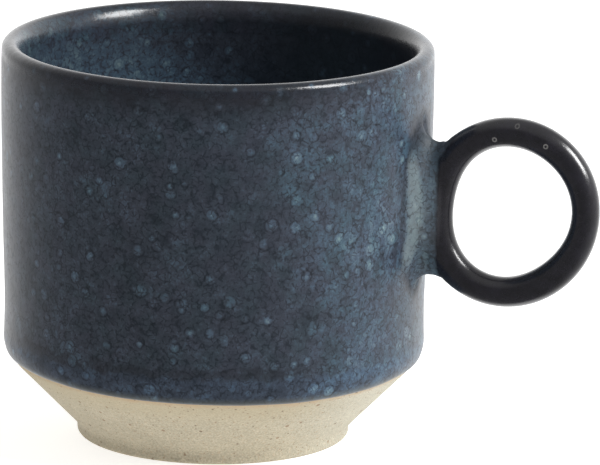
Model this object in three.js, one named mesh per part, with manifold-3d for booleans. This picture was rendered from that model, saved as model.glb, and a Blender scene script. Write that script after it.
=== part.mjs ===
// Stoneware mug with a ring handle. Units are millimetres and +Z is up. The origin is the centre
// of the foot on the cup's axis, and the ring handle stands out along +X.
import * as THREE from 'three';
import { mergeVertices } from 'three/addons/utils/BufferGeometryUtils.js';
import Module from 'manifold-3d';

const wasm = await Module();
wasm.setup();

// Coat and fits
const GLAZE = 0.5; // fired thickness of the glaze coat
const GAP = 0.3; // clearance between pieces that are cut to each other
const ROUND_SEGMENTS = 48;

// Cup, measured over the glaze
const HEIGHT = 79;
const RIM_RADIUS = 42.5;
const LIP_ROUND = 1.75; // half the wall's thickness at the mouth
const MIDDLE_RADIUS = 42.2;
const WAIST_RADIUS = 41.6; // the narrowest part of the wall, just above the shoulder
const SHOULDER_RADIUS = 41.75;
const MIDDLE_HEIGHT = 49;
const WAIST_HEIGHT = 28;

// Bare cone and foot
const SHOULDER_ROUND = 7.2; // on the clay, under the glaze
const CONE_ANGLE = THREE.MathUtils.degToRad(45.6); // rise of the cone above the table
const GLAZE_LINE = 15.6; // height at which the clay comes out of the glaze
const FOOT_RADIUS = 27;
const FOOT_HEIGHT = 2.3; // height of the small upright wall of the foot
const FOOT_EDGE = 0.8;
const RECESS_RADIUS = 20;
const RECESS_DEPTH = 0.6;

// Inside of the cup, measured over the glaze
const FLOOR_HEIGHT = 5.8;
const FLOOR_RADIUS = 15;
const INNER_CONE_FOOT = [23, 8.6];
const INNER_CONE_TOP = [33.4, 18];
const INNER_WAIST = [37.2, 27];
const INNER_MIDDLE = [38.2, MIDDLE_HEIGHT];

// Ring handle, measured over the glaze
const RING_X = 60.2;
const RING_Z = 50;
const RING_OUTER = 18.6;
const RING_HOLE = 12.8;
const RING_HALF_WIDTH = 2.8;
const HOLE_SHIFT = 0.8; // the hole sits this much off centre, away from the cup
const HOLE_UPRIGHT = 0.4; // the hole is taller than wide by four times this
const RING_SKEW = 0.45; // both outlines are drawn out along the rising diagonal
const RING_STEPS = 36;
const TUBE_SIDES = 12;

// Joint of the handle with the wall: a flare of slip
const JOINT_REACH = 5.2; // how far it comes out from the wall
const JOINT_WALL_WIDTH = 8; // half width and half height where it meets the wall
const JOINT_WALL_HEIGHT = 17.6;
const JOINT_RING_WIDTH = 2; // half width and half height where it meets the ring
const JOINT_RING_HEIGHT = 12.8;
const JOINT_ROOT = -1.4; // how far its blank starts inside the wall's surface
const JOINT_STEPS = 6;
const JOINT_SIDES = 32;

// Colours
const REACTIVE_BLUE = 0x3d4a5a;
const MOUTH_BLUE = 0x2c3644;
const NEAR_BLACK = 0x2b2b30;
const BEIGE_CLAY = 0xcabfa6;

// ---------- Closed meshes and booleans ----------

// Keep only the corner positions, shared between the faces that meet there.
function welded(geometry) {
  geometry.deleteAttribute('normal');
  geometry.deleteAttribute('uv');
  return mergeVertices(geometry, 1e-5);
}

function solidOf(geometry) {
  const mesh = welded(geometry);
  const vertProperties = new Float32Array(mesh.attributes.position.array);
  const triVerts = [];
  const index = mesh.index.array;
  for (let i = 0; i < index.length; i += 3) {
    const [a, b, c] = index.slice(i, i + 3);
    if (a !== b && b !== c && c !== a) triVerts.push(a, b, c);
  }
  return new wasm.Manifold(new wasm.Mesh({ numProp: 3, vertProperties, triVerts: new Uint32Array(triVerts) }));
}

function geometryOf(solid) {
  const { vertProperties, triVerts } = solid.getMesh();
  const geometry = new THREE.BufferGeometry();
  geometry.setAttribute('position', new THREE.BufferAttribute(vertProperties, 3));
  geometry.setIndex(new THREE.BufferAttribute(triVerts, 1));
  return geometry;
}

// ---------- Profiles of the cup: radius and height, from the foot up ----------

const point = (radius, height) => new THREE.Vector2(radius, height);

function arc(centre, radius, from, to, steps) {
  const points = [];
  for (let i = 0; i <= steps; i += 1) {
    const angle = THREE.MathUtils.degToRad(from + ((to - from) * i) / steps);
    points.push(point(centre.x + radius * Math.cos(angle), centre.y + radius * Math.sin(angle)));
  }
  return points;
}

// Move an open line sideways, to its right as it runs.
function offset(points, distance) {
  return points.map((here, i) => {
    const before = points[Math.max(i - 1, 0)];
    const after = points[Math.min(i + 1, points.length - 1)];
    const along = after.clone().sub(before).normalize();
    return point(here.x + along.y * distance, here.y - along.x * distance);
  });
}

const lipCentre = point(RIM_RADIUS - LIP_ROUND, HEIGHT - LIP_ROUND);

// The shoulder's arc touches both the wall and the cone.
function shoulderCentre() {
  const radius = SHOULDER_RADIUS - GLAZE - SHOULDER_ROUND;
  const rise = (radius - FOOT_RADIUS) * Math.sin(CONE_ANGLE) + SHOULDER_ROUND;
  return point(radius, FOOT_HEIGHT + rise / Math.cos(CONE_ANGLE));
}

const shoulder = shoulderCentre();
const glazeLineAngle = -THREE.MathUtils.radToDeg(Math.asin((shoulder.y - GLAZE_LINE) / SHOULDER_ROUND));
const coneTopAngle = THREE.MathUtils.radToDeg(CONE_ANGLE) - 90;

// Outside of the wall from the shoulder to the mouth, at a depth under the glaze's surface.
function outerWall(depth) {
  const wall = new THREE.SplineCurve([
    point(SHOULDER_RADIUS - depth, shoulder.y),
    point(WAIST_RADIUS - depth, WAIST_HEIGHT),
    point(MIDDLE_RADIUS - depth, MIDDLE_HEIGHT),
    point(RIM_RADIUS - depth, lipCentre.y),
  ]);
  return wall.getPoints(6);
}

// Outside from the glaze line to the crest of the lip.
function outerCoated(depth) {
  return [
    ...arc(shoulder, SHOULDER_ROUND + GLAZE - depth, glazeLineAngle, 0, 3).slice(0, -1),
    ...outerWall(depth),
    ...arc(lipCentre, LIP_ROUND - depth, 0, 90, 3).slice(1),
  ];
}

// Inside from the axis to the crest of the lip.
function innerCoated(depth) {
  const inside = new THREE.SplineCurve([
    point(FLOOR_RADIUS, FLOOR_HEIGHT),
    point(...INNER_CONE_FOOT),
    point(...INNER_CONE_TOP),
    point(...INNER_WAIST),
    point(...INNER_MIDDLE),
    point(lipCentre.x - LIP_ROUND, lipCentre.y),
  ]);
  const wall = offset(inside.getPoints(12).slice(1, -1), depth);
  return [
    point(0, FLOOR_HEIGHT - depth),
    point(FLOOR_RADIUS, FLOOR_HEIGHT - depth),
    ...wall,
    ...arc(lipCentre, LIP_ROUND - depth, 180, 90, 3),
  ];
}

// Bare clay from the axis under the foot to the glaze line.
function bareClay() {
  return [
    point(0, RECESS_DEPTH),
    point(RECESS_RADIUS, RECESS_DEPTH),
    point(RECESS_RADIUS + RECESS_DEPTH, 0),
    ...arc(point(FOOT_RADIUS - FOOT_EDGE, FOOT_EDGE), FOOT_EDGE, -90, 0, 3),
    point(FOOT_RADIUS, FOOT_HEIGHT),
    ...arc(shoulder, SHOULDER_ROUND, coneTopAngle, glazeLineAngle, 1).slice(0, -1),
  ];
}

// Turn a profile round the cup's axis.
function turned(points) {
  return new THREE.LatheGeometry(points, ROUND_SEGMENTS).rotateX(Math.PI / 2);
}

// ---------- Blanks of the handle ----------

// Closed ring in the XZ plane, at a depth under its glazed surface.
function ringBlank(depth) {
  const section = [];
  for (let i = 0; i <= TUBE_SIDES; i += 1) {
    const angle = (2 * Math.PI * i) / TUBE_SIDES;
    section.push(point(2 + Math.cos(angle), Math.sin(angle)));
  }
  const ring = welded(new THREE.LatheGeometry(section, RING_STEPS));
  const corners = ring.attributes.position;
  for (let i = 0; i < corners.count; i += 1) {
    const angle = Math.atan2(corners.getZ(i), corners.getX(i));
    const outward = Math.hypot(corners.getX(i), corners.getZ(i)) - 2;
    const skew = RING_SKEW * Math.sin(2 * angle);
    const outer = RING_OUTER + skew;
    const hole = RING_HOLE + HOLE_SHIFT * Math.cos(angle) - HOLE_UPRIGHT * Math.cos(2 * angle) + skew;
    const radius = (outer + hole) / 2 + outward * ((outer - hole) / 2 - depth);
    const side = corners.getY(i) * (RING_HALF_WIDTH - depth);
    corners.setXYZ(i, RING_X + radius * Math.cos(angle), side, RING_Z + radius * Math.sin(angle));
  }
  return solidOf(ring);
}

// Flare between the wall and the ring: an oval on the wall that narrows to an upright bar.
function jointBlank(depth) {
  const blank = welded(new THREE.CylinderGeometry(1, 1, 1, JOINT_SIDES, JOINT_STEPS));
  const corners = blank.attributes.position;
  for (let i = 0; i < corners.count; i += 1) {
    const across = -corners.getX(i);
    const up = corners.getZ(i);
    const reach = JOINT_ROOT + (JOINT_REACH - depth - JOINT_ROOT) * (corners.getY(i) + 0.5);
    const free = 1 - THREE.MathUtils.clamp(reach / JOINT_REACH, 0, 1);
    const flare = free ** 2.2;
    const squareness = 0.6 + 0.4 * free;
    const halfWidth = THREE.MathUtils.lerp(JOINT_RING_WIDTH, JOINT_WALL_WIDTH, flare) - depth;
    const halfHeight = THREE.MathUtils.lerp(JOINT_RING_HEIGHT, JOINT_WALL_HEIGHT, flare) - depth;
    const side = Math.sign(across) * Math.abs(across) ** squareness * halfWidth;
    const height = Math.sign(up) * Math.abs(up) ** squareness * halfHeight;
    const wall = Math.sqrt(MIDDLE_RADIUS ** 2 - side ** 2);
    corners.setXYZ(i, wall + reach, side, RING_Z + height);
  }
  return solidOf(blank);
}

// The clay wall grown by the gap, to trim whatever stands on it.
function wallTrimmer() {
  const grown = outerWall(GLAZE - GAP);
  const bottom = grown[0];
  const top = grown[grown.length - 1];
  return solidOf(turned([point(0, bottom.y), ...grown, point(0, top.y)]));
}

// ---------- Pieces ----------

// Cup of one clay: foot, cone, wall and floor.
function stonewareBody() {
  return turned([...bareClay(), ...outerCoated(GLAZE), ...innerCoated(GLAZE).reverse().slice(1)]);
}

// Coat on the outside, from the glaze line to the crest, open where the handle is joined.
function outerGlaze() {
  const clay = outerCoated(GLAZE);
  const coat = solidOf(turned([...outerCoated(0), ...clay.reverse(), outerCoated(0)[0]]));
  return geometryOf(coat.subtract(jointBlank(-GAP)));
}

// Lining of the inside, from the floor to the crest.
function innerGlaze() {
  return turned([...innerCoated(GLAZE), ...innerCoated(0).reverse()]);
}

function ringHandle() {
  return geometryOf(ringBlank(GLAZE + GAP).subtract(wallTrimmer()));
}

// Slip that bonds the ring to the wall.
function slipJoint() {
  return geometryOf(jointBlank(GLAZE + GAP).subtract(ringBlank(GLAZE)).subtract(wallTrimmer()));
}

// Coat over the ring and its joint, open where they meet the wall.
function handleGlaze() {
  const coated = ringBlank(0).add(jointBlank(0));
  const bare = ringBlank(GLAZE).add(jointBlank(GLAZE));
  return geometryOf(coated.subtract(bare).subtract(wallTrimmer()));
}

const mug = new THREE.Group();

function addPiece(name, geometry, color, roughness) {
  const piece = new THREE.Mesh(geometry, new THREE.MeshStandardMaterial({ color, roughness, metalness: 0 }));
  piece.name = name;
  mug.add(piece);
}

addPiece('stoneware_body', stonewareBody(), BEIGE_CLAY, 0.85);
addPiece('ring_handle', ringHandle(), BEIGE_CLAY, 0.85);
addPiece('slip_joint', slipJoint(), BEIGE_CLAY, 0.9);
addPiece('outer_glaze', outerGlaze(), REACTIVE_BLUE, 0.4);
addPiece('inner_glaze', innerGlaze(), MOUTH_BLUE, 0.35);
addPiece('handle_glaze', handleGlaze(), NEAR_BLACK, 0.35);

export default mug;
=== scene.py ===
"""Stoneware mug with a ring handle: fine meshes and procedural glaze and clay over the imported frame.

Blender works in metres. The shapes here are worked out in millimetres and scaled once, in add_piece().
"""

import math

import bpy
import numpy as np
from mathutils import Matrix, Vector


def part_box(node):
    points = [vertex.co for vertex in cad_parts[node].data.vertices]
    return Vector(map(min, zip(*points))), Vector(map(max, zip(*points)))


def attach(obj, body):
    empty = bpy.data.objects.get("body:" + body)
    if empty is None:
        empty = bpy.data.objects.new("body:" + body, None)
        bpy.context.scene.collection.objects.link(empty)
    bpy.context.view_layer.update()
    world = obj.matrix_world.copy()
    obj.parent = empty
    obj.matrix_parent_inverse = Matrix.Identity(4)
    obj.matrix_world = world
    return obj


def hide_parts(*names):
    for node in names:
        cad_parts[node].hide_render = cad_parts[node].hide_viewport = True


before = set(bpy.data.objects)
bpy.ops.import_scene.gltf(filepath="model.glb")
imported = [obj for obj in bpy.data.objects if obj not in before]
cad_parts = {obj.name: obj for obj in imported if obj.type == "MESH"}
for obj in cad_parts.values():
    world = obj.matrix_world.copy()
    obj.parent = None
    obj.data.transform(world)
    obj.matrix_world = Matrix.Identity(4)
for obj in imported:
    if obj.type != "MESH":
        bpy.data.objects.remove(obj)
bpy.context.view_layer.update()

MM = 0.001

# ---------- Sizes from the frame, in millimetres ----------


def box_mm(node):
    low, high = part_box(node)
    return np.array(low) / MM, np.array(high) / MM


coat_low, coat_high = box_mm("outer_glaze")
lining_low, _ = box_mm("inner_glaze")
handle_low, handle_high = box_mm("handle_glaze")

HEIGHT = coat_high[2]
RIM_RADIUS = coat_high[1]
GLAZE_LINE = coat_low[2] + 0.35
FLOOR_HEIGHT = lining_low[2] + 0.5
RING_Z = (handle_low[2] + handle_high[2]) / 2
RING_OUTER = (handle_high[2] - handle_low[2]) / 2
RING_X = handle_high[0] - RING_OUTER
RING_HALF_WIDTH = 2.8

# ---------- Driving dimensions that the frame doesn't give, in millimetres ----------

GLAZE = 0.5
LIP_ROUND = 1.7
LIP_TURN = 131  # degrees of the lip's outer arc before it rolls over to the inside
LIP_ROLL = (1.45, 3.7)  # how far in and down the roll goes
ROLL_HANDLES = (1.3, 1.5)  # lengths of the roll's curve handles, at its start and its end
SHOULDER_ROUND = 7.2
SHOULDER_HEIGHT = 19.8
SHOULDER_RADIUS = 41.75
FOOT_RADIUS = 27.0
FOOT_HEIGHT = 2.3
CONE_ANGLE = math.radians(45.6)
RING_HOLE = 12.65
HOLE_CORNERS = 0.38
HOLE_SHIFT = 0.8
HOLE_UPRIGHT = 0.4
RING_SKEW = 0.45
RING_OVAL = 0.15  # its outside is taller than wide: the radius grows by twice this at the top and bottom
RING_SAG = 0.08  # its outside sits lower by this
# The hole's flat spot, away from the wall: its depth, then its turn and reach in radians
HOLE_FLAT = (0.38, -0.25, 0.9)
BAR_Z = 49.38  # the lens-shaped bar between the wall and the ring
BAR_HALF_HEIGHT = 13.37
BAR_HALF_WIDTH = 2.8
BAR_START = 40.0  # from the cup's axis: the bar begins inside the wall
BAR_REACH = 46.5  # and it ends inside the ring
SKIRT_HEIGHT = 3.1  # the slip round the bar slopes down to the wall
SKIRT_ACROSS = 5.9
SKIRT_TAPER = (3.0, 14.5)  # its height fades between these distances from the joint's middle
FILLET = 2.8  # between the skirt and the bar
FILLET_GAIN = 0.8  # larger by this at the top of the joint
FILLET_GROWS = (7, 13)  # between these heights above the bar's middle
NECK_ROUND = 1.1  # between the bar and the ring
RECESS_RADIUS = 20.0
RECESS_DEPTH = 0.6
FOOT_EDGE = 0.8
FRONT_TURN = math.radians(-71)  # the direction of the cup's front, from +X
SIDE_TURN = FRONT_TURN + math.pi / 2
BULGE = 0.32  # of the wall's top, towards the side of the handle
SEAM_HEIGHT = 2.3  # how far out from the wall the coat of the wall gives way to the handle's

# Density of the meshes
COLUMNS = 360  # round the cup, before the finer ones at the joint
JOINT_COLUMNS = 84
NET_STEP = 0.34  # cell of the grid that the handle is drawn on
CLAY_NET_STEP = 0.55
SLIP_NET_STEP = 0.4

# ---------- Small numeric helpers ----------


def smooth(low, high, value):
    t = np.clip((value - low) / (high - low), 0, 1)
    return t * t * (3 - 2 * t)


def spline(points, count):
    """Natural cubic spline through the points, evenly spaced along its length."""
    points = np.array(points, float)
    knots = np.concatenate([[0], np.cumsum(np.linalg.norm(np.diff(points, axis=0), axis=1))])
    gaps = np.diff(knots)
    n = len(points)
    system = np.eye(n)
    right = np.zeros((n, 2))
    for i in range(1, n - 1):
        system[i, i - 1:i + 2] = gaps[i - 1], 2 * (gaps[i - 1] + gaps[i]), gaps[i]
        slopes = np.diff(points[i - 1:i + 2], axis=0) / gaps[i - 1:i + 1, None]
        right[i] = 6 * (slopes[1] - slopes[0])
    bend = np.linalg.solve(system, right)
    at = np.linspace(0, knots[-1], count)
    k = np.clip(np.searchsorted(knots, at) - 1, 0, n - 2)
    gap = gaps[k][:, None]
    a = ((knots[k + 1] - at) / gaps[k])[:, None]
    b = 1 - a
    curve = (a ** 3 - a) * bend[k] + (b ** 3 - b) * bend[k + 1]
    return a * points[k] + b * points[k + 1] + curve * gap ** 2 / 6


def arc(centre, radius, start, end, step):
    """Points of an arc, in degrees, about step apart."""
    count = max(3, int(abs(math.radians(end - start)) * radius / step) + 1)
    angles = np.radians(np.linspace(start, end, count))
    return np.stack([centre[0] + radius * np.cos(angles), centre[1] + radius * np.sin(angles)], -1)


def joined(*lines):
    """One line from several, without the corner that two neighbours share."""
    kept = [lines[0]] + [np.asarray(line)[1:] for line in lines[1:]]
    return np.concatenate(kept)


def waves(angle, seed, orders, size):
    """A smooth closed wobble round the cup, as a sum of a few waves."""
    source = np.random.default_rng(seed)
    total = np.zeros_like(angle)
    for order in orders:
        total += source.normal() / order ** 0.5 * np.cos(order * angle + source.uniform(0, 2 * np.pi))
    return size * total


# ---------- Profiles of the cup: radius and height ----------

lip_centre = np.array([RIM_RADIUS - LIP_ROUND, HEIGHT - LIP_ROUND])
shoulder_centre = np.array([SHOULDER_RADIUS - GLAZE - SHOULDER_ROUND, SHOULDER_HEIGHT])
CONE_TURN = math.degrees(CONE_ANGLE) - 90
lip_leave = math.radians(LIP_TURN)
roll_start = lip_centre + LIP_ROUND * np.array([math.cos(lip_leave), math.sin(lip_leave)])
MOUTH_RADIUS, ROLL_END = roll_start - LIP_ROLL
SEAM_DROP = 2.0  # where the outside's coat meets the lining, below the lip's roll
LAP = 0.03  # how far a coat reaches into the clay


def wall_radius(height):
    """Radius of the glazed wall between the shoulder and the lip."""
    return np.interp(height, WALL[:, 1], WALL[:, 0])


WALL = spline([
    (SHOULDER_RADIUS - 0.02, SHOULDER_HEIGHT),
    (41.62, 25.5),
    (41.74, 33),
    (42.2, 49),
    (42.44, 64),
    (RIM_RADIUS, lip_centre[1]),
], 240)


def wall_line(step, joint_step):
    """Points of the wall, closer together at the height of the handle's joint."""
    low, high = RING_Z - 17, RING_Z + 16
    heights = np.concatenate([
        np.arange(SHOULDER_HEIGHT, low, step),
        np.arange(low, high, joint_step),
        np.linspace(high, lip_centre[1], int((lip_centre[1] - high) / step) + 2),
    ])
    return np.stack([wall_radius(heights), heights], -1)


def lip_line(depth, step):
    """Over the lip from the outside to the inside."""
    t = np.linspace(0, 1, int(5.5 / step))[:, None]
    first = roll_start + ROLL_HANDLES[0] * np.array([-math.sin(lip_leave), math.cos(lip_leave)])
    last = np.array([MOUTH_RADIUS, ROLL_END])
    second = last + [0, ROLL_HANDLES[1]]
    s = 1 - t
    roll = s ** 3 * roll_start + 3 * s * s * t * first + 3 * s * t * t * second + t ** 3 * last
    return sunk(joined(arc(lip_centre, LIP_ROUND, 0, LIP_TURN, step), roll), depth)


# Inside of the cup, from the seam under the lip to the middle of the floor.
LINING = spline([
    (MOUTH_RADIUS - 0.02, ROLL_END - SEAM_DROP),
    (MOUTH_RADIUS - 0.18, 64),
    (38.3, 49),
    (37.8, 35),
    (36.8, 26.5),
    (33.4, 18.2),
    (28.2, 12.9),
    (22.5, 8.7),
    (14, 6.15),
    (0.001, FLOOR_HEIGHT),
], 120)


def sunk(line, depth):
    """The line moved to its left as it runs, which is into the clay."""
    along = np.gradient(line, axis=0)
    along /= np.linalg.norm(along, axis=1)[:, None]
    return line + depth * np.stack([-along[:, 1], along[:, 0]], -1)


# ---------- Shape of the joint and the ring, as distances in millimetres ----------


def round_join(a, b, radius):
    """Distance to two solids joined with a fillet."""
    corner = np.hypot(np.maximum(radius - a, 0), np.maximum(radius - b, 0))
    return np.maximum(radius, np.minimum(a, b)) - corner


def ring_distance(x, y, z):
    angle = np.arctan2(z - RING_Z, x - RING_X)
    skew = RING_SKEW * np.sin(2 * angle)
    outer = RING_OUTER + RING_OVAL * (1 - np.cos(2 * angle)) - RING_SAG * np.sin(angle) + skew
    hole = RING_HOLE + HOLE_SHIFT * np.cos(angle) - HOLE_UPRIGHT * np.cos(2 * angle) + skew
    depth, middle, reach = HOLE_FLAT
    hole = hole + HOLE_CORNERS * np.cos(3 * angle) - depth * np.exp(-((angle - middle) / reach) ** 2)
    across = np.hypot(x - RING_X, z - RING_Z) - (outer + hole) / 2
    half = (outer - hole) / 2
    ratio = np.hypot(across / half, y / RING_HALF_WIDTH)
    slope = np.hypot(across / half ** 2, y / RING_HALF_WIDTH ** 2)
    return ratio * (ratio - 1) / np.maximum(slope, 1e-6)


def bar_distance(x, y, z):
    """The bar that the ring stands on: an upright ellipse, drawn out from the wall."""
    up = (z - BAR_Z) / BAR_HALF_HEIGHT
    across = y / BAR_HALF_WIDTH
    ratio = np.hypot(across, up)
    slope = np.hypot(across / BAR_HALF_WIDTH, up / BAR_HALF_HEIGHT)
    ellipse = ratio * (ratio - 1) / np.maximum(slope, 1e-6)
    return np.maximum(ellipse, np.abs(x - BAR_START) - (BAR_REACH - BAR_START))


def skirt(y, z):
    """Height above the wall of the slip that slopes away from the bar."""
    up = np.abs(z - BAR_Z)
    half = BAR_HALF_WIDTH * np.sqrt(np.maximum(1 - (up / BAR_HALF_HEIGHT) ** 2, 0))
    share = np.maximum(np.abs(y) - half + 0.3, 0) / SKIRT_ACROSS
    slope = (np.sqrt((1 - share) ** 2 + 0.012) + (1 - share)) / 2
    return SKIRT_HEIGHT * slope ** 1.25 * (1 - smooth(*SKIRT_TAPER, up))


def joint_distance(x, y, z):
    """Distance to the glazed wall, the ring and the flare that joins them."""
    wall = np.hypot(x, y) - wall_radius(z)
    wall = wall - np.where(x > 0, skirt(y, z), 0)
    fillet = FILLET + FILLET_GAIN * smooth(*FILLET_GROWS, z - BAR_Z)
    flare = round_join(wall, bar_distance(x, y, z), fillet)
    return round_join(flare, ring_distance(x, y, z), NECK_ROUND)


# ---------- Columns round the cup, closer together at the joint ----------

JOINT_SIDE = 11.5  # how far to either side the finer columns reach
JOINT_RADIUS = 42.2  # of the wall at the joint
JOINT_TURN = math.asin(JOINT_SIDE / JOINT_RADIUS)
columns = np.concatenate([
    np.linspace(-JOINT_TURN, JOINT_TURN, JOINT_COLUMNS, endpoint=False),
    np.linspace(JOINT_TURN, 2 * np.pi - JOINT_TURN, COLUMNS, endpoint=False),
])


def wobble(angle, height):
    """Unevenness of the thrown wall, which fades out towards the foot."""
    grow = smooth(8, 60, height)
    slow = waves(angle, 3, (2, 3, 5), 0.035) * grow
    slow = slow + BULGE * (1 + np.cos(angle - SIDE_TURN)) / 2 * smooth(25, 70, height)
    return slow + 0.03 * np.sin(0.21 * height + 2 * np.cos(angle + 1.1)) * smooth(20, 30, height)


def glaze_line(angle):
    """Height of the line where the clay comes out of the glaze."""
    from_front = np.degrees(np.angle(np.exp(1j * (angle - FRONT_TURN))))
    line = GLAZE_LINE - 0.45 * np.exp(-((from_front - 23) / 23) ** 2) + 0.3 * smooth(48, 66, from_front)
    line = line - 0.3 * smooth(95, 180, np.abs(from_front)) + 0.65 * smooth(-25, -65, from_front)
    return line + waves(angle, 11, (4, 7, 9, 13, 17, 23), 0.045)


# ---------- Meshes ----------


def add_piece(name, points, faces, material, replaced):
    mesh = bpy.data.meshes.new(name)
    mesh.from_pydata((np.asarray(points) * MM).tolist(), [], faces)
    mesh.validate()
    mesh.shade_smooth()
    mesh.materials.append(material)
    place = np.asarray(points)
    above = place[:, 2] - glaze_line(np.arctan2(place[:, 1], place[:, 0]))
    mesh.attributes.new("above_line", "FLOAT", "POINT").data.foreach_set("value", above.astype(np.float32))
    piece = bpy.data.objects.new(name, mesh)
    bpy.context.scene.collection.objects.link(piece)
    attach(piece, "root")
    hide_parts(*replaced)
    return piece


def turned_faces(rows, width, ring_closed):
    """Quads of a grid that goes round; ring_closed joins its last row to its first."""
    here = np.arange(rows * width).reshape(rows, width)
    above = np.roll(here, -1, axis=0)
    if not ring_closed:
        here, above = here[:-1], above[:-1]
    beside, corner = np.roll(here, -1, axis=1), np.roll(above, -1, axis=1)
    return np.stack([here, beside, corner, above], -1).reshape(-1, 4).tolist()


def turned(profile, angle):
    """Every point of the profile at every angle, as a rows by columns by three array."""
    radius = profile[:, None, 0] * np.ones_like(angle)
    height = profile[:, None, 1] * np.ones_like(angle)
    return polar(radius, angle, height)


def polar(radius, angle, height):
    return np.stack([radius * np.cos(angle), radius * np.sin(angle), height * np.ones_like(angle)], -1)


SHOULDER_ROWS = 27
SHOULDER_CROWDING = 1.6  # a power above 1, which draws the rows together at the coat's edge
EDGE_ROUND = 1.3  # over which the coat swells from its edge to its full thickness
SEAM_SIDE = 11.4  # the wall's coat follows the flare this far to either side
SEAM_UP = 17  # and this far up and down from the ring's middle
SEAM_HALVINGS = 22  # of the search for the flare's surface


def coat_sheet(depth):
    """One side of the outside's coat: cone's edge, shoulder, wall, lip and the first of the inside."""
    angle = columns[None, :]
    edge = np.degrees(np.arcsin((glaze_line(columns) - SHOULDER_HEIGHT) / (SHOULDER_ROUND + GLAZE / 2)))
    share = np.linspace(0, 1, SHOULDER_ROWS)[:-1] ** SHOULDER_CROWDING
    turn = np.radians(edge[None, :] * (1 - share[:, None]))
    run = (turn - np.radians(edge)[None, :]) * (SHOULDER_ROUND + GLAZE)
    if depth == 0:
        swell = GLAZE * np.sqrt(np.clip(1 - (1 - np.clip(run / EDGE_ROUND, 0, 1)) ** 2, 0, 1))
        radius = SHOULDER_ROUND + swell - LAP * (run < 0.01)
    else:
        radius = np.full_like(run, SHOULDER_ROUND + (GLAZE - depth))
    shoulder = polar(
        shoulder_centre[0] + radius * np.cos(turn), angle, shoulder_centre[1] + radius * np.sin(turn)
    )
    wall = turned(wall_line(0.9, 0.45) - [depth, 0], angle)
    x, y, z = wall[..., 0], wall[..., 1], wall[..., 2]
    near = (np.abs(y) < SEAM_SIDE) & (x > 0) & (np.abs(z - RING_Z) < SEAM_UP)
    flare = np.zeros_like(x)
    turns = np.arctan2(y, x)
    base = np.hypot(x, y)
    low, high = np.zeros(near.sum()), np.full(near.sum(), SEAM_HEIGHT)
    for _ in range(SEAM_HALVINGS):
        middle = (low + high) / 2
        out = base[near] + middle
        inside = joint_distance(out * np.cos(turns[near]), out * np.sin(turns[near]), z[near]) < -depth
        low, high = np.where(inside, middle, low), np.where(inside, high, middle)
    flare[near] = low
    grown = base + flare
    wall = polar(grown, angle, z)
    lip = turned(lip_line(depth, 0.3)[1:], angle)
    down = np.array([0.2, 0.5, 0.8, 0.97, 0.995, 1])
    drop = turned(np.stack([MOUTH_RADIUS + depth - 0.02 * down, ROLL_END - SEAM_DROP * down], -1), angle)
    sheet = np.concatenate([shoulder, wall, lip, drop])
    moved = wobble(angle, sheet[..., 2])
    length = np.hypot(sheet[..., 0], sheet[..., 1])
    sheet[..., :2] *= ((length + moved) / length)[..., None]
    return sheet


def add_outer_coat(material):
    outside = coat_sheet(0)
    inside = coat_sheet(GLAZE + LAP)[::-1]
    inside = np.concatenate([inside[:-1:4], inside[-1:]])
    grid = np.concatenate([outside, inside])
    return add_piece(
        "outer_coat",
        grid.reshape(-1, 3),
        turned_faces(len(grid), len(columns), True),
        material,
        ["outer_glaze"],
    )


def add_lathe(name, profile, width, material, replaced):
    """A closed solid turned from a profile that starts and ends on the axis."""
    angle = np.linspace(0, 2 * np.pi, width, endpoint=False)[None, :]
    grid = turned(profile[1:-1], angle)
    moved = wobble(angle, grid[..., 2])
    length = np.hypot(grid[..., 0], grid[..., 1])
    grid[..., :2] *= ((length + moved) / length)[..., None]
    points = np.concatenate([grid.reshape(-1, 3), [[0, 0, profile[0, 1]], [0, 0, profile[-1, 1]]]])
    faces = turned_faces(len(grid), width, False)
    first, last = len(points) - 2, len(points) - 1
    top = (len(grid) - 1) * width
    for i in range(width):
        j = (i + 1) % width
        faces.append([first, j, i])
        faces.append([last, top + i, top + j])
    return add_piece(name, points, faces, material, replaced)


def add_lining(material):
    """From the axis over the lining to its seam, and back under it."""
    over = LINING.copy()
    over[:2, 0] += 0.015
    over = np.concatenate([over[:1] + [0, 0.7], over])
    under = sunk(LINING, GLAZE + LAP)
    under = np.concatenate([under[:1] + [0, 0.7], under])
    profile = np.concatenate([under[::-1], over])
    return add_lathe("inner_coat", profile, 360, material, ["inner_glaze"])


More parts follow.
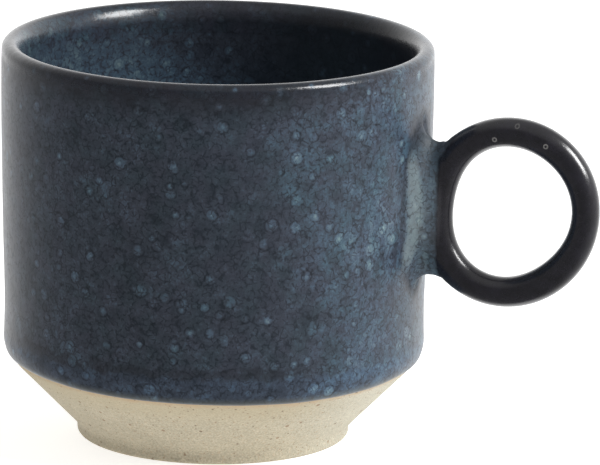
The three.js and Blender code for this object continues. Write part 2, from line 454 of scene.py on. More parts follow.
def clay_profile():
    """From the middle of the recess by the foot, cone and wall to the middle of the floor."""
    leave_turn = math.radians(CONE_TURN)
    cone_end = shoulder_centre + SHOULDER_ROUND * np.array([math.cos(leave_turn), math.sin(leave_turn)])
    slope = math.tan(CONE_ANGLE)
    neck = 2.4  # radius of the hollow between the cone and the foot
    foot_top = FOOT_HEIGHT + 0.15
    start = np.array([FOOT_RADIUS + 0.05, foot_top])
    leave = np.array([FOOT_RADIUS + 1.15, FOOT_HEIGHT + 1.15 * slope])
    bend = np.linspace(0, 1, 14)[:, None]
    corner = np.array([FOOT_RADIUS + 0.02, FOOT_HEIGHT])
    start = start - [0, neck * 0.4]
    hollow = (1 - bend) ** 2 * start + 2 * bend * (1 - bend) * corner + bend ** 2 * leave
    recess = RECESS_RADIUS
    bottom = joined(
        [(0.0, RECESS_DEPTH), (recess * 0.5, RECESS_DEPTH)],
        np.linspace((recess * 0.5, RECESS_DEPTH), (recess - 0.6, RECESS_DEPTH), 24),
        arc((recess - 0.6, RECESS_DEPTH - 0.3), 0.3, 90, 20, 0.1),
        [(recess + 0.3, 0.04), (recess + 0.7, 0.0)],
        np.linspace((recess + 0.7, 0.0), (FOOT_RADIUS - FOOT_EDGE, 0.0), 14),
        arc((FOOT_RADIUS - FOOT_EDGE, FOOT_EDGE), FOOT_EDGE, -90, -4, 0.12),
    )
    cone = np.linspace(leave, cone_end, 34)
    outside = joined(
        bottom,
        hollow,
        cone,
        arc(shoulder_centre, SHOULDER_ROUND, CONE_TURN, 0, 0.3),
        wall_line(1.4, 1.4) - [GLAZE, 0],
        lip_line(GLAZE, 0.4),
    )
    inside = sunk(LINING[::2], GLAZE)
    inside[-1, 0] = 0
    return np.concatenate([outside, inside])


def add_clay(material):
    return add_lathe("clay_body", clay_profile(), 360, material, ["stoneware_body"])


def handle_distance(x, y, z):
    """The coat of the handle: the same surface as the wall's, begun clear of the wall."""
    wall = np.hypot(x, y) - wall_radius(z)
    return np.maximum(joint_distance(x, y, z) - 0.012, SEAM_HEIGHT - 0.6 - wall)


def net(distance, low, high, step):
    """Surface net of a solid: one point in each cell that its surface crosses, moved onto the surface."""
    axes = [np.arange(a, b, step) for a, b in zip(low, high)]
    value = distance(*np.meshgrid(*axes, indexing="ij"))
    inside = value < 0
    cells = tuple(n - 1 for n in inside.shape)
    total = np.zeros(cells + (3,))
    count = np.zeros(cells)
    corner = (slice(0, -1), slice(1, None))
    for axis in range(3):
        others = [a for a in range(3) if a != axis]
        for i in (0, 1):
            for j in (0, 1):
                first, second = [None] * 3, [None] * 3
                first[axis], second[axis] = corner[0], corner[1]
                first[others[0]] = second[others[0]] = corner[i]
                first[others[1]] = second[others[1]] = corner[j]
                a, b = value[tuple(first)], value[tuple(second)]
                crossed = (a < 0) != (b < 0)
                share = np.where(crossed, a / np.where(crossed, a - b, 1), 0)
                at = np.zeros(cells + (3,))
                at[..., axis] = share
                at[..., others[0]] = i
                at[..., others[1]] = j
                total += at * crossed[..., None]
                count += crossed
    filled = count > 0
    number = np.full(cells, -1)
    number[filled] = np.arange(filled.sum())
    place = np.stack(np.nonzero(filled), -1)
    points = np.array([axis[0] for axis in axes]) + (place + total[filled] / count[filled][:, None]) * step
    faces = []
    for axis in range(3):
        u, v = (axis + 1) % 3, (axis + 2) % 3
        span = [slice(1, -1)] * 3
        span[axis] = slice(0, -1)
        after = list(span)
        after[axis] = slice(1, None)
        a, b = inside[tuple(span)], inside[tuple(after)]
        for leaving in (True, False):
            hit = np.stack(np.nonzero((a != b) & (a == leaving)), -1)
            hit += np.array([0 if k == axis else 1 for k in range(3)])
            quad = []
            for du, dv in ((1, 1), (0, 1), (0, 0), (1, 0)):
                cell = hit.copy()
                cell[:, u] -= du
                cell[:, v] -= dv
                quad.append(number[tuple(cell.T)])
            quad = np.stack(quad, -1)
            faces.append(quad if leaving else quad[:, ::-1])
    for _ in range(4):
        here = distance(*points.T)
        slope = np.stack([
            (distance(*(points + move).T) - distance(*(points - move).T)) / 0.02
            for move in np.eye(3) * 0.01
        ], -1)
        shift = slope * (here / np.maximum((slope ** 2).sum(-1), 0.3))[:, None]
        points = points - np.clip(shift, -step / 2, step / 2)
    length = np.hypot(points[:, 0], points[:, 1])
    moved = wobble(np.arctan2(points[:, 1], points[:, 0]), points[:, 2])
    points[:, :2] *= ((length + moved) / length)[:, None]
    return points, np.concatenate(faces).tolist()


# Box of the grid that the handle is drawn on
SIDE_ROOM = 6.2  # on either side of the ring, for the skirt
END_ROOM = 1.5
HANDLE_LOW = (BAR_START, -RING_HALF_WIDTH - SIDE_ROOM, RING_Z - RING_OUTER - END_ROOM)
HANDLE_HIGH = (RING_X + RING_OUTER + END_ROOM, RING_HALF_WIDTH + SIDE_ROOM, RING_Z + RING_OUTER + END_ROOM)


def add_handle_coat(material):
    points, faces = net(handle_distance, HANDLE_LOW, HANDLE_HIGH, NET_STEP)
    add_piece("handle_coat", points, faces, material, ["handle_glaze"])


def ring_core_distance(x, y, z):
    """Clay of the ring under its coat, cut off at the clay of the wall."""
    wall = np.hypot(x, y) - wall_radius(z) + GLAZE
    return np.maximum(ring_distance(x, y, z) + GLAZE + LAP, LAP - wall)


def slip_distance(x, y, z):
    """Slip between the wall, the ring and the coats."""
    wall = np.hypot(x, y) - wall_radius(z) + GLAZE
    under = joint_distance(x, y, z) + GLAZE + LAP
    return np.maximum.reduce([under, LAP - wall, LAP - ring_core_distance(x, y, z), x - BAR_REACH - 1])


def add_handle_clay(material):
    points, faces = net(ring_core_distance, HANDLE_LOW, HANDLE_HIGH, CLAY_NET_STEP)
    add_piece("ring_clay", points, faces, material, ["ring_handle"])
    slip_high = (BAR_REACH + 3, HANDLE_HIGH[1], HANDLE_HIGH[2] + 1)
    points, faces = net(slip_distance, HANDLE_LOW, slip_high, SLIP_NET_STEP)
    add_piece("joining_slip", points, faces, material, ["slip_joint"])


# ---------- Procedural materials, in millimetres of the object's own space ----------


class Paint:
    """A material's nodes, with short calls for the few kinds that the mug needs."""

    def __init__(self, name):
        self.material = bpy.data.materials.new(name)
        self.material.use_nodes = True
        self.tree = self.material.node_tree
        self.shader = self.tree.nodes["Principled BSDF"]
        coordinates = self.tree.nodes.new("ShaderNodeTexCoord")
        self.place = self.vector("SCALE", coordinates.outputs["Object"], scale=1 / MM)

    def put(self, socket, value):
        if isinstance(value, bpy.types.NodeSocket):
            self.tree.links.new(value, socket)
        elif value is not None:
            if isinstance(value, tuple) and len(value) == 3 and socket.type == "RGBA":
                value = (*value, 1)
            socket.default_value = value

    def node(self, kind, values=(), **settings):
        made = self.tree.nodes.new("ShaderNode" + kind)
        for key, setting in settings.items():
            setattr(made, key, setting)
        for key, value in dict(values).items():
            self.put(made.inputs[key], value)
        return made

    def math(self, operation, a, b=None, c=None, clamp=False):
        made = self.node("Math", operation=operation, use_clamp=clamp)
        for socket, value in zip(made.inputs, (a, b, c)):
            self.put(socket, value)
        return made.outputs[0]

    def vector(self, operation, a, b=None, scale=None):
        made = self.node("VectorMath", {0: a}, operation=operation)
        self.put(made.inputs[1], b)
        self.put(made.inputs[3], scale)
        return made.outputs["Value" if operation in ("DOT_PRODUCT", "LENGTH") else "Vector"]

    def step(self, low, high, value, start=0.0, end=1.0):
        """A smooth step from start to end; where low is above high, it runs the other way."""
        values = {0: value, 1: low, 2: high, 3: start, 4: end}
        return self.node("MapRange", values, interpolation_type="SMOOTHSTEP").outputs[0]

    def mix(self, factor, a, b):
        made = self.node("Mix", {0: factor, 6: a, 7: b}, data_type="RGBA")
        return made.outputs[2]

    def choose(self, factor, a, b):
        """The same as mix, for plain numbers."""
        return self.node("Mix", {0: factor, 2: a, 3: b}).outputs[0]

    def tinted(self, colour, tint):
        """The colour multiplied by a tint."""
        values = {0: 1.0, 6: colour, 7: tint}
        return self.node("Mix", values, data_type="RGBA", blend_type="MULTIPLY").outputs[2]

    def times(self, colour, value):
        """The colour made brighter or darker by a number."""
        return self.vector("SCALE", colour, scale=value)

    def gap(self, value, centre):
        """How far a value is from a centre."""
        return self.math("ABSOLUTE", self.math("SUBTRACT", value, centre))

    def noise(self, place, size, detail=2.0, roughness=0.5, colour=False):
        """Noise with blobs of about the given size."""
        values = {"Vector": place, "Scale": 1 / size, "Detail": detail, "Roughness": roughness}
        return self.node("TexNoise", values).outputs[1 if colour else 0]

    def cells(self, place, size, feature="F1", randomness=1.0):
        """Cells of about the given size: their distances are in the same unit."""
        values = {"Vector": place, "Scale": 1 / size, "Randomness": randomness}
        made = self.node("TexVoronoi", values, feature=feature)
        return self.math("MULTIPLY", made.outputs["Distance"], size), made

    def parts(self, vector):
        made = self.node("SeparateXYZ", {0: vector})
        return made.outputs

    def finish(self, colour, roughness, height, depth):
        self.put(self.shader.inputs["Base Color"], colour)
        self.put(self.shader.inputs["Roughness"], roughness)
        bump = self.node("Bump", {"Height": height, "Distance": depth * MM, "Strength": 1.0})
        self.put(self.shader.inputs["Normal"], bump.outputs[0])
        return self.material


# Colours, as linear light
GROUND = (
    (0.0, (0.0035, 0.0070, 0.0125)),
    (0.25, (0.0115, 0.0182, 0.0285)),
    (0.45, (0.0285, 0.0382, 0.0550)),
    (0.62, (0.0440, 0.0760, 0.1120)),
    (0.8, (0.0880, 0.1390, 0.1700)),
    (1.0, (0.1700, 0.2350, 0.2480)),
)
TEAL = (0.80, 1.05, 0.97)  # tints that the ground is multiplied by
VIOLET = (1.14, 0.94, 1.0)
BAND_BLUE = (1.02, 1.10, 1.20)
NEAR_BLACK = (0.0072, 0.0066, 0.0108)
# Painted sheen: pale grey-green colour for the reflection on the flare's flanks
PAINTED_SHEEN = (0.165, 0.200, 0.205)
PINHOLE = (0.160, 0.155, 0.150)
# Pinholes on the near side of the ring: to the side and up from its middle, and how clear they are
PINHOLES = ((-1.95, 14.75, 0.9), (8.45, 14.3, 0.9), (2.45, 17.7, 0.35))
PINHOLE_RADIUS = 0.38
LIP_DARK = (0.0140, 0.0132, 0.0178)
EDGE_GREEN = (0.095, 0.100, 0.085)
EDGE_BROWN = (0.050, 0.030, 0.018)
CLAY = (0.500, 0.448, 0.334)
WARM_CLAY = (0.430, 0.362, 0.236)
# Painted lit copy of the clay, for the handle's side
PAINTED_LIT_CLAY = (0.520, 0.492, 0.400)
BLUSH = (0.465, 0.315, 0.190)
SPECK = (0.110, 0.060, 0.032)
BROWN = (0.240, 0.170, 0.105)
RUST = (0.230, 0.125, 0.065)
# Four sorts of specks in the clay: spacing, least and greatest radius, colour, and the share left out
SPECKS = (
    (0.8, 0.05, 0.2, BROWN, 0.25),
    (1.25, 0.06, 0.25, SPECK, 0.65),
    (2.3, 0.12, 0.36, SPECK, 0.78),
    (2.2, 0.12, 0.42, RUST, 0.62),
)

# Places in the glaze, in millimetres
LIP_CREST = (39.4, 40.6)  # from the axis: the inside's look gives way to the outside's between these
LIP_ONLY = 60  # and only above this height
DROPS_Z = 76.8  # the row of pale drops under the lip
SHEEN_ASIDE = 5.7  # the painted pale reflections on the flare, to either side of the ring's plane
FLARE_ASIDE = 8.6  # outline of the flare on the wall, as a lens
FLARE_UP = 18
BAND_TOP = (20.2, 21.6)  # the bluer band along the shoulder ends between these heights
THIN_Z = 21.9  # the thin dark line over the band
RING_BEGINS = (46.3, 47.2)  # the glaze turns nearly black between these places along X

# Towards the right of the photo: the side of the handle
SIDE = (-math.sin(FRONT_TURN), math.cos(FRONT_TURN), 0.0)


def ground_colours(p, tone):
    """Colour of the blue-grey glaze from dark, where it lies thin, to pale, where it broke."""
    made = p.node("ValToRGB", {0: tone})
    ramp = made.color_ramp
    while len(ramp.elements) < len(GROUND):
        ramp.elements.new(0.5)
    for stop, (place, colour) in zip(ramp.elements, GROUND):
        stop.position = place
        stop.color = (*colour, 1)
    return made.outputs[0]


def centred(p, value, weight):
    """A noise from 0 to 1 turned into a change of tone, up or down."""
    return p.math("MULTIPLY", p.math("SUBTRACT", value, 0.5), weight)


def add_all(p, first, *rest):
    for value in rest:
        first = p.math("ADD", first, value)
    return first


def broken_pattern(p, breakup_and_light):
    """Tone of the glaze, with its veins, bubbles and pale centres; the share given is how much of it broke
    open, and it also carries painted light that makes it paler.
    """
    drift = p.vector("SUBTRACT", p.noise(p.place, 1.1, 2, colour=True), (0.5, 0.5, 0.5))
    place = p.vector("ADD", p.place, p.vector("SCALE", drift, scale=0.8))
    fine = p.noise(place, 0.42, 1.5)
    medium = p.noise(p.place, 2.4, 3)

    # Small cells, pale in the middle, with broken dark veins between them
    edge, _ = p.cells(place, 1.25, "DISTANCE_TO_EDGE")
    near, cell = p.cells(place, 1.25)
    luck, shade, _ = p.parts(cell.outputs["Color"])
    gate = p.step(0.43, 0.6, p.noise(place, 0.9, 1))
    vein = p.math("MULTIPLY", p.step(0.03, 0.17, edge, 1, 0), gate)
    core = p.math("MULTIPLY", p.step(0.1, 0.5, near, 1, 0), p.step(0.4, 0.9, luck))

    # Longer cracks
    rift, _ = p.cells(place, 3.3, "DISTANCE_TO_EDGE")
    open_here = p.step(0.45, 0.58, p.noise(p.vector("ADD", p.place, (7.1, 3.3, 9.7)), 2.6, 1))
    crack = p.math("MULTIPLY", p.step(0.03, 0.34, rift, 1, 0), open_here)

    # Bubbles with a dark outline and a pale middle
    far, bubble = p.cells(p.place, 3.5)
    chance, size, _ = p.parts(bubble.outputs["Color"])
    radius = p.math("MULTIPLY_ADD", size, 0.55, 0.8)
    off = p.math("SUBTRACT", far, radius)
    chosen = p.step(0.38, 0.46, p.math("ADD", centred(p, p.noise(p.place, 9, 1), 1.6), chance))
    disc = p.math("MULTIPLY", p.step(-0.45, 0.05, off, 1, 0), chosen)
    outline = p.math("MULTIPLY", p.step(0.05, 0.22, p.gap(off, 0.1), 1, 0), chosen)
    outline = p.math("MULTIPLY", outline, p.step(0.35, 0.6, p.noise(place, 1.2, 1)))
    middle = p.math("MULTIPLY", p.step(0.1, 0.6, far, 1, 0), chosen)

    # Pale dots here and there
    apart, dots = p.cells(p.vector("ADD", p.place, (11.3, 5.1, 3.7)), 3.3)
    rare, _, _ = p.parts(dots.outputs["Color"])
    dot = p.math("MULTIPLY", p.step(0.1, 0.85, apart, 1, 0), p.step(0.55, 0.85, rare))

    small = add_all(
        p,
        centred(p, fine, 0.44),
        centred(p, shade, 0.08),
        p.math("MULTIPLY", core, 0.06),
        p.math("MULTIPLY", vein, -0.29),
        p.math("MULTIPLY", crack, -0.14),
    )
    # Paler where the share is high: partly the broken glaze, partly painted light
    tone = add_all(
        p,
        p.math("MULTIPLY_ADD", breakup_and_light, 0.31, 0.365),
        p.math("MULTIPLY", small, p.math("MULTIPLY_ADD", breakup_and_light, 0.5, 0.6)),
        centred(p, medium, 0.36),
        centred(p, p.noise(p.place, 6, 2), 0.2),
        p.math("MULTIPLY", disc, 0.14),
        p.math("MULTIPLY", middle, 0.18),
        p.math("MULTIPLY", outline, -0.16),
        p.math("MULTIPLY", dot, 0.12),
    )
    return tone, vein, disc


def lining_breakup_and_light(p):
    """How much the glaze broke open on the inside, and painted light with it: more towards the side away
    from the handle, where the light falls in.
    """
    side = p.vector("DOT_PRODUCT", p.place, SIDE)
    left = p.math("MULTIPLY", p.step(-34, 20, side, 1, 0), 0.6)
    return p.math("ADD", left, centred(p, p.noise(p.place, 12, 3), 1.2), clamp=True)


def inside_top(p, z):
    """How thin the glaze is towards the top of the inside, as a share."""
    ragged = p.math("ADD", z, centred(p, p.noise(p.place, 12, 3), 14))
    return p.math("MULTIPLY", p.step(57, 76, ragged), 0.75)


def painted_inside_light(p):
    """Painted light on the inside: how much paler it is away from the handle, where the light falls in, as a
    change of tone.
    """
    return p.step(-34, 20, p.vector("DOT_PRODUCT", p.place, SIDE), 0.24, 0.05)


def reactive_glaze():
    """Blue-grey reactive glaze, darker over the lip and on the handle, and bluer along the shoulder, with
    painted light towards the handle's side, a painted reflection on the flare and painted shade round it.
    """
    p = Paint("reactive_glaze")
    x, y, z = p.parts(p.place)

    # It broke open more towards the handle's side of the front, and the same share paints that side paler,
    # as painted light
    side = p.vector("DOT_PRODUCT", p.place, SIDE)
    cloud = p.noise(p.place, 14, 3, 0.55)
    lit_side_breakup = p.math("MULTIPLY", p.step(6, 34, side), 0.62)
    breakup_and_light = p.math("ADD", lit_side_breakup, centred(p, cloud, 1.3), clamp=True)
    breakup_and_light = p.math("ADD", breakup_and_light, 0.12)
    radius = p.vector("LENGTH", p.vector("MULTIPLY", p.place, (1, 1, 0)))
    inside = p.math("MULTIPLY", p.step(*LIP_CREST, radius, 1, 0), p.math("GREATER_THAN", z, LIP_ONLY))
    breakup_and_light = p.choose(inside, breakup_and_light, lining_breakup_and_light(p))
    tone, vein, disc = broken_pattern(p, breakup_and_light)
    # Painted light on the inside, away from the handle
    tone = p.math("MULTIPLY_ADD", inside, painted_inside_light(p), tone)

    # Painted reflection: paler along the flanks of the flare; painted shade round them
    up = p.math("SUBTRACT", z, RING_Z)
    aside = p.math("ADD", p.math("ABSOLUTE", y), centred(p, p.noise(p.place, 3, 2), 1.6))
    beside = p.math("GREATER_THAN", x, 30)
    painted_streak = p.math("MULTIPLY", p.step(0.6, 2.2, p.gap(aside, SHEEN_ASIDE), 1, 0), beside)
    painted_streak = p.math("MULTIPLY", painted_streak, p.step(8.5, 13.5, p.gap(up, -0.5), 1, 0))
    tone = p.math("ADD", tone, p.math("MULTIPLY", painted_streak, 0.1))
    shares = {0: p.math("DIVIDE", aside, FLARE_ASIDE), 1: p.math("DIVIDE", up, FLARE_UP)}
    lens = p.vector("LENGTH", p.node("CombineXYZ", shares).outputs[0])
    # Painted shade in the crease round the flare's outline on the wall, and over the bar's top
    crease_shade = p.math("MULTIPLY", p.step(0.02, 0.12, p.gap(lens, 1), 1, 0), beside)
    over = p.math("MULTIPLY", p.step(11, 13, up), p.step(8, 5, aside))
    over = p.math("MULTIPLY", p.step(20, 17.5, up), over)
    crease_shade = p.math("MAXIMUM", crease_shade, p.math("MULTIPLY", over, beside))
    tone = p.math("SUBTRACT", tone, p.math("MULTIPLY", crease_shade, 0.14))

    # Thin over the lip
    lip = p.step(71, 78, p.math("ADD", z, centred(p, cloud, 9)))
    lip = p.math("MULTIPLY", lip, p.math("MULTIPLY_ADD", breakup_and_light, -0.75, 1, clamp=True))
    lip = p.choose(inside, lip, inside_top(p, z))
    tone = p.math("SUBTRACT", tone, p.math("MULTIPLY", lip, 0.19))
    apart, drops = p.cells(p.vector("MULTIPLY", p.place, (1, 1, 0.8)), 3.2)
    rare, wide, _ = p.parts(drops.outputs["Color"])
    apart = p.math("MULTIPLY", apart, p.math("MULTIPLY_ADD", wide, 0.8, 0.8))
    drop = p.math("MULTIPLY", p.step(0.2, 1.25, apart, 1, 0), p.step(0.1, 0.3, rare))
    drop = p.math("MULTIPLY", drop, p.step(2.8, 1.2, p.gap(z, DROPS_Z)))
    drop = p.math("MULTIPLY", drop, p.math("SUBTRACT", 1, inside))
    tone = p.math("ADD", tone, p.math("MULTIPLY", drop, 0.38))
    ground = ground_colours(p, tone)
    ground = p.mix(p.math("MULTIPLY", p.math("SUBTRACT", lip, drop), 0.6, clamp=True), ground, LIP_DARK)
    hue = p.noise(p.place, 4.5, 2)
    ground = p.mix(p.step(0.5, 0.66, hue, 0, 0.4), ground, p.tinted(ground, TEAL))
    ground = p.mix(p.step(0.5, 0.36, hue, 0, 0.4), ground, p.tinted(ground, VIOLET))

    # Painted reflection: the flare's flanks, and its part nearest the ring, mixed towards the pale sheen
    # colour
    sheen_share = p.math("MULTIPLY", p.math("SUBTRACT", painted_streak, p.math("MULTIPLY", vein, 0.4)), 0.55, clamp=True)
    ground = p.mix(sheen_share, ground, PAINTED_SHEEN)
    ground = p.mix(p.math("MULTIPLY", p.step(42.6, 44.6, x), 0.12), ground, PAINTED_SHEEN)

    # Bluer where it ran thick along the shoulder
    ragged = p.math("ADD", z, centred(p, p.noise(p.place, 2.4, 3), 4))
    band = p.step(*BAND_TOP, ragged, 1, 0)
    thin = p.step(0.5, 1.5, p.gap(ragged, THIN_Z), 0.35, 0)
    thin = p.math("MULTIPLY", thin, p.step(0.42, 0.12, breakup_and_light))
    ground = p.mix(thin, ground, NEAR_BLACK)
    lift = p.math("MULTIPLY_ADD", breakup_and_light, 0.03, 0.035)
    pooled = add_all(p, tone, lift, centred(p, p.noise(p.place, 3.5, 2), 0.3))
    blue = p.tinted(ground_colours(p, pooled), BAND_BLUE)
    ground = p.mix(p.math("MULTIPLY", band, 0.85), ground, blue)

    # Nearly black on the ring, from just outside the flare
    reach = p.math("ADD", x, centred(p, p.noise(p.place, 1.5, 2), 0.8))
    ring = p.step(*RING_BEGINS, p.math("SUBTRACT", reach, p.step(9, 14, up, 0, 2.4)))
    grain = p.math("ADD", centred(p, p.noise(p.place, 0.6, 2), 1.2), centred(p, p.noise(p.place, 3, 3), 1.6))
    ground = p.mix(ring, ground, p.times(NEAR_BLACK, p.math("MAXIMUM", p.math("ADD", grain, 1), 0.2)))
    for across, rise, strength in PINHOLES:
        flat = p.node("CombineXYZ", {0: x, 2: z}).outputs[0]
        away = p.vector("LENGTH", p.vector("SUBTRACT", flat, (RING_X + across, 0.0, RING_Z + rise)))
        hoop = p.step(0.06, 0.2, p.gap(away, PINHOLE_RADIUS), strength, 0)
        hoop = p.math("MULTIPLY", hoop, p.math("LESS_THAN", y, 0))
        ground = p.mix(hoop, ground, PINHOLE)

    # Thin greenish edge and a brown line where it ends on the clay
    above = p.node("Attribute", attribute_name="above_line").outputs["Fac"]
    ground = p.mix(p.step(0.3, 2.0, above, 0.55, 0), ground, EDGE_GREEN)
    ground = p.mix(p.step(0.03, 0.2, above, 0.75, 0), ground, EDGE_BROWN)

    gloss = add_all(p, centred(p, p.noise(p.place, 2.2, 3), 0.14), p.math("MULTIPLY", vein, 0.05))
    roughness = p.math("SUBTRACT", p.math("ADD", gloss, 0.33), p.math("MULTIPLY", ring, 0.1))
    roughness = p.math("SUBTRACT", roughness, p.step(75.5, 77.5, z, 0, 0.13))
    matte = p.math("MULTIPLY", p.step(1.1, 0.9, lens), beside)
    matte = p.math("MULTIPLY", matte, p.math("SUBTRACT", 1, ring))
    roughness = p.math("MULTIPLY_ADD", matte, 0.24, roughness)
    relief = p.math("ADD", p.math("MULTIPLY", p.noise(p.place, 1.6, 2), 0.6), p.math("MULTIPLY", disc, 0.15))
    relief = p.math("SUBTRACT", relief, p.math("MULTIPLY", vein, 0.12))
    p.put(p.shader.inputs["Coat Weight"], p.math("MULTIPLY", ring, 0.75))
    p.put(p.shader.inputs["Coat Roughness"], 0.22)
    return p.finish(ground, roughness, relief, 0.05)


def lining_glaze():
    """The same glaze on the inside: darker, with painted light on the side away from the handle."""
    p = Paint("lining_glaze")
    _, _, z = p.parts(p.place)
    tone, vein, disc = broken_pattern(p, lining_breakup_and_light(p))
    # Painted light on the inside, away from the handle
    tone = p.math("ADD", tone, painted_inside_light(p))
    top = inside_top(p, z)
    tone = p.math("SUBTRACT", tone, p.math("MULTIPLY", top, 0.19))
    ground = p.mix(p.math("MULTIPLY", top, 0.6), ground_colours(p, tone), LIP_DARK)
    gloss = add_all(p, centred(p, p.noise(p.place, 2.2, 3), 0.14), p.math("MULTIPLY", vein, 0.05))
    return p.finish(ground, p.math("ADD", gloss, 0.33), p.noise(p.place, 1.6, 2), 0.04)


def bare_clay():
    """Unglazed beige stoneware with iron specks and a warm blush along the glaze, painted paler towards the
    handle's side and painted darker at the front.
    """
    p = Paint("bare_clay")
    grain = p.noise(p.place, 0.38, 2, 0.6)
    cloud = p.noise(p.place, 5, 3)
    mottle = p.noise(p.place, 1.3, 2)
    tone = add_all(p, centred(p, grain, 0.95), centred(p, cloud, 0.2), centred(p, mottle, 0.14))
    # Painted light and shade: paler towards the handle's side, darker at the front
    side = p.vector("DOT_PRODUCT", p.place, SIDE)
    painted_front_shade = p.math("MULTIPLY", p.step(-34, -4, side), p.step(36, 20, side, 0, 0.11))
    ground = p.mix(p.step(8, 32, side), CLAY, PAINTED_LIT_CLAY)
    ground = p.times(ground, p.math("SUBTRACT", p.math("ADD", tone, 1), painted_front_shade))
    sparse = p.noise(p.vector("ADD", p.place, (5, 9, 2)), 0.45, 1)
    ground = p.mix(p.step(0.56, 0.72, sparse, 0, 0.36), ground, BLUSH)
    above = p.node("Attribute", attribute_name="above_line").outputs["Fac"]
    below = p.math("SUBTRACT", p.math("MULTIPLY", p.noise(p.place, 1.8, 2), 1.4), above)
    warm = p.math("MULTIPLY", p.step(1.0, 7.0, below, 0.6, 0), p.step(32, 12, side))
    ground = p.mix(warm, ground, WARM_CLAY)
    ground = p.mix(p.step(0.45, 1.9, below, 0.65, 0), ground, BLUSH)
    for size, small, large, colour, chance in SPECKS:
        shifted = p.vector("ADD", p.place, (size * 3.1, size * 1.7, size * 5.3))
        near, cell = p.cells(shifted, size)
        luck, share, _ = p.parts(cell.outputs["Color"])
        radius = p.math("MULTIPLY_ADD", share, large - small, small)
        spot = p.step(-0.06, 0.05, p.math("SUBTRACT", near, radius), 1, 0)
        spot = p.math("MULTIPLY", spot, p.math("GREATER_THAN", luck, chance))
        ground = p.mix(p.math("MULTIPLY", spot, 0.7), ground, colour)
    roughness = p.math("MULTIPLY_ADD", grain, 0.2, 0.7)
    return p.finish(ground, roughness, p.noise(p.place, 0.5, 3, 0.65), 0.05)


glaze = reactive_glaze()
clay = bare_clay()
add_outer_coat(glaze)
add_handle_coat(glaze)
add_lining(lining_glaze())
add_clay(clay)
add_handle_clay(clay)

# ---------- Camera ----------

CAMERA_TURN = math.radians(19)
TARGET_OUT = 16.78  # millimetres from the cup's axis, to the camera's right
TARGET_Z = 40.57
TARGET = MM * Vector((TARGET_OUT * math.cos(CAMERA_TURN), TARGET_OUT * math.sin(CAMERA_TURN), TARGET_Z))
CAMERA_RISE = math.radians(13.38)
CAMERA_ROLL = math.radians(0.877)
CAMERA_DISTANCE = 1.2565  # metres
FOCAL_LENGTH = 380.8  # for a sensor 36 mm wide


def towards(right, near, up):
    """A direction given as seen from the camera: to the right, towards it, and up."""
    across = Vector((math.cos(CAMERA_TURN), math.sin(CAMERA_TURN), 0))
    closer = Vector((math.sin(CAMERA_TURN), -math.cos(CAMERA_TURN), 0))
    return (across * right + closer * near + Vector((0, 0, up))).normalized()


def aimed(piece, place, target, roll=0.0):
    """Put a camera or a light at a place and turn it to the target."""
    back = (place - target).normalized()
    across = Vector((0, 0, 1)).cross(back).normalized()
    upright = back.cross(across)
    right = across * math.cos(roll) + upright * math.sin(roll)
    up = back.cross(right)
    turn = Matrix((right, up, back)).transposed().to_4x4()
    piece.matrix_world = Matrix.Translation(place) @ turn
    bpy.context.scene.collection.objects.link(piece)


lens = bpy.data.cameras.new("camera")
lens.sensor_fit = "HORIZONTAL"
lens.sensor_width = 36
lens.lens = FOCAL_LENGTH
camera = bpy.data.objects.new("camera", lens)
view_line = towards(0, math.cos(CAMERA_RISE), math.sin(CAMERA_RISE))
aimed(camera, TARGET + view_line * CAMERA_DISTANCE, TARGET, CAMERA_ROLL)
bpy.context.scene.camera = camera

# ---------- Floor, lights and surroundings ----------


FLOOR_REACH = 30.0  # metres from the middle to each side
FLOOR_GAP = 0.00002  # under the foot


def add_floor():
    mesh = bpy.data.meshes.new("floor")
    signs = ((-1, -1), (1, -1), (1, 1), (-1, 1))
    corners = [(x * FLOOR_REACH, y * FLOOR_REACH, -FLOOR_GAP) for x, y in signs]
    mesh.from_pydata(corners, [], [(0, 1, 2, 3)])
    p = Paint("floor")
    p.put(p.shader.inputs["Base Color"], (0.72, 0.72, 0.71))
    p.put(p.shader.inputs["Roughness"], 0.9)
    p.put(p.shader.inputs["Emission Color"], (1, 1, 1))
    p.put(p.shader.inputs["Emission Strength"], 0.68)
    mesh.materials.append(p.material)
    floor = bpy.data.objects.new("floor", mesh)
    floor.visible_glossy = False
    bpy.context.scene.collection.objects.link(floor)


def add_softbox(name, direction, distance, size, radiance):
    """A rectangular light that faces the mug: distance and size in metres."""
    light = bpy.data.lights.new(name, "AREA")
    light.shape = "RECTANGLE"
    light.size, light.size_y = size
    light.energy = radiance * math.pi * size[0] * size[1]
    aimed(bpy.data.objects.new(name, light), TARGET + direction * distance, TARGET)


KEY_FROM = (0.732, 0.295, 0.614)  # as seen from the camera: to the right, towards it, and up
KEY_DISTANCE = 1.3  # metres
KEY_SIZE = (0.45, 0.62)
KEY_RADIANCE = 19

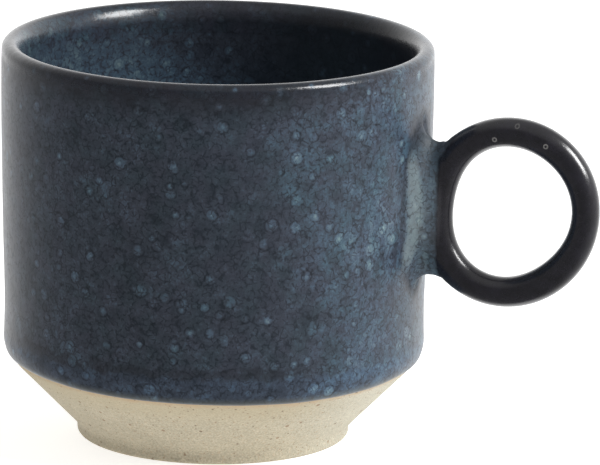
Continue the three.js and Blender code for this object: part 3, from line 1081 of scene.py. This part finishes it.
# Brightness of the surroundings by turn from the camera's side, to the right as positive, in degrees
SURROUNDINGS = (
    (-180, 1.85), (-150, 1.70), (-120, 0.66), (-90, 0.32), (-60, 0.26), (-30, 0.20),
    (0, 0.22), (30, 0.30), (60, 0.56), (90, 0.82), (120, 1.22), (150, 1.88), (180, 1.82),
)
BRIGHTEST = 2.0
OVERHEAD = 0.6


def add_surroundings():
    world = bpy.data.worlds.new("studio")
    bpy.context.scene.world = world
    world.use_nodes = True
    tree = world.node_tree
    tree.nodes.clear()

    def made(kind, *inputs, **settings):
        node = tree.nodes.new("ShaderNode" + kind)
        for key, setting in settings.items():
            setattr(node, key, setting)
        for socket, value in zip(node.inputs, inputs):
            if isinstance(value, bpy.types.NodeSocket):
                tree.links.new(value, socket)
            elif value is not None:
                socket.default_value = value
        return node

    direction = made("TexCoord").outputs["Generated"]
    right, near = tuple(towards(1, 0, 0)), tuple(towards(0, 1, 0))
    across = made("VectorMath", direction, right, operation="DOT_PRODUCT").outputs["Value"]
    closer = made("VectorMath", direction, near, operation="DOT_PRODUCT").outputs["Value"]
    turn = made("Math", across, closer, operation="ARCTAN2").outputs[0]
    share = made("Math", turn, 1 / (2 * math.pi), 0.5, operation="MULTIPLY_ADD").outputs[0]
    ramp = made("ValToRGB", share)
    ramp.color_ramp.interpolation = "B_SPLINE"
    stops = ramp.color_ramp.elements
    while len(stops) < len(SURROUNDINGS):
        stops.new(0.5)
    for stop, (degrees, level) in zip(stops, SURROUNDINGS):
        stop.position = (degrees + 180) / 360
        stop.color = (level / BRIGHTEST,) * 3 + (1,)
    round_about = made("Math", ramp.outputs["Color"], BRIGHTEST, operation="MULTIPLY").outputs[0]
    rise = made("SeparateXYZ", direction).outputs[2]
    high = made("MapRange", rise, 0.35, 0.85, 0, 1, interpolation_type="SMOOTHSTEP").outputs[0]
    above = made("Mix", high, None, round_about, OVERHEAD).outputs[0]
    background = made("Background", None, above)
    output = made("OutputWorld")
    tree.links.new(background.outputs[0], output.inputs[0])


add_floor()
add_softbox("key_softbox", towards(*KEY_FROM), KEY_DISTANCE, KEY_SIZE, KEY_RADIANCE)
add_surroundings()
bpy.context.scene.view_settings.view_transform = "Standard"
